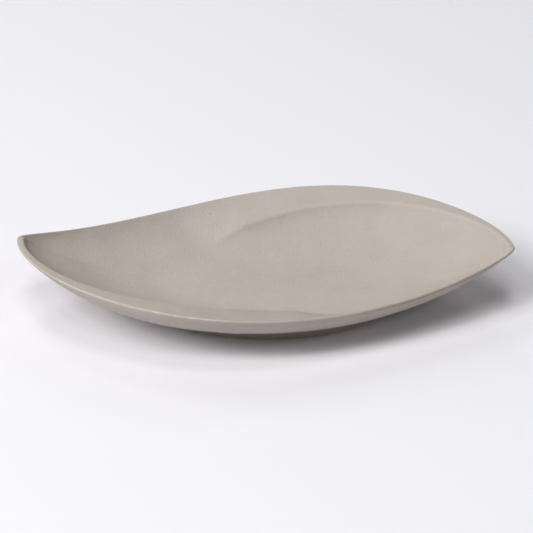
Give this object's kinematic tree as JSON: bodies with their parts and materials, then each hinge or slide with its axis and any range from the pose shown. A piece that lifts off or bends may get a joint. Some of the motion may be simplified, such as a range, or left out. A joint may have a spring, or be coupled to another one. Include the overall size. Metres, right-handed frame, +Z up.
{
  "type": "leaf-shaped serving dish",
  "caption": "Shallow leaf-shaped stoneware serving dish with two pointed raised tips, an inner ledge along each side and an oval foot ring.",
  "frame": {"origin": "on the table, under the middle of the dish", "axes": "+X along the dish towards the tip where the back ledge starts, +Y across it towards the back, +Z up"},
  "size_m": [0.36, 0.206, 0.0484],
  "materials": {
    "clay": "bare fired stoneware, pale cream, matt and slightly rough",
    "glaze": "matt warm-grey glaze with a fine orange-peel surface and a few pinholes"
  },
  "bodies": {
    "root": {"clay_body": "clay", "foot_ring": "clay", "inside_glaze": "glaze", "outside_glaze": "glaze", "base_glaze": "glaze"}
  },
  "joints": []
}
